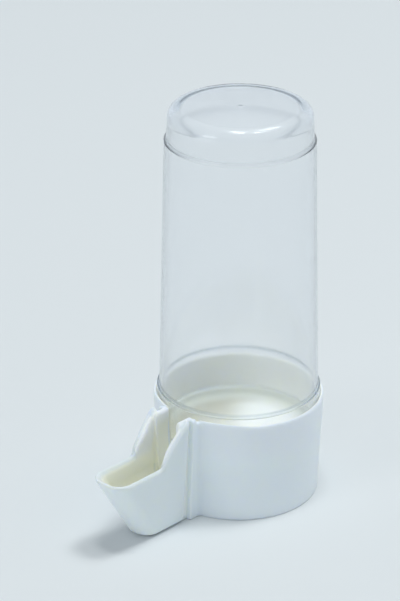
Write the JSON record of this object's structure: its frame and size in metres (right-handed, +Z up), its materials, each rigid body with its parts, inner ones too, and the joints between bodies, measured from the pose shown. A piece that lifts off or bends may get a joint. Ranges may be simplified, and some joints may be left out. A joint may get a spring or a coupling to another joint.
{
  "type": "bird water fountain",
  "caption": "Siphon drinker for a bird cage: a clear closed-top tube stands in a white round cup whose drinking spout pushes between the cage's bars.",
  "frame": {"origin": "on the ground, under the middle of the whole drinker's box", "axes": "+Z up along the tube, -Y towards the tip of the drinking spout, +X to the right of someone who stands in front of the spout"},
  "size_m": [0.0554, 0.0904, 0.1323],
  "materials": {
    "white_plastic": "white moulded polypropylene, satin",
    "clear_plastic": "clear moulded polystyrene, polished"
  },
  "bodies": {
    "base": {"base_cup": "white_plastic"},
    "reservoir": {"reservoir_tube": "clear_plastic"}
  },
  "joints": [
    {"name": "tube_lift", "type": "slide", "parent": "base", "child": "reservoir", "axis": [0, 0, 1], "range_m": [0, 0.03]}
  ]
}
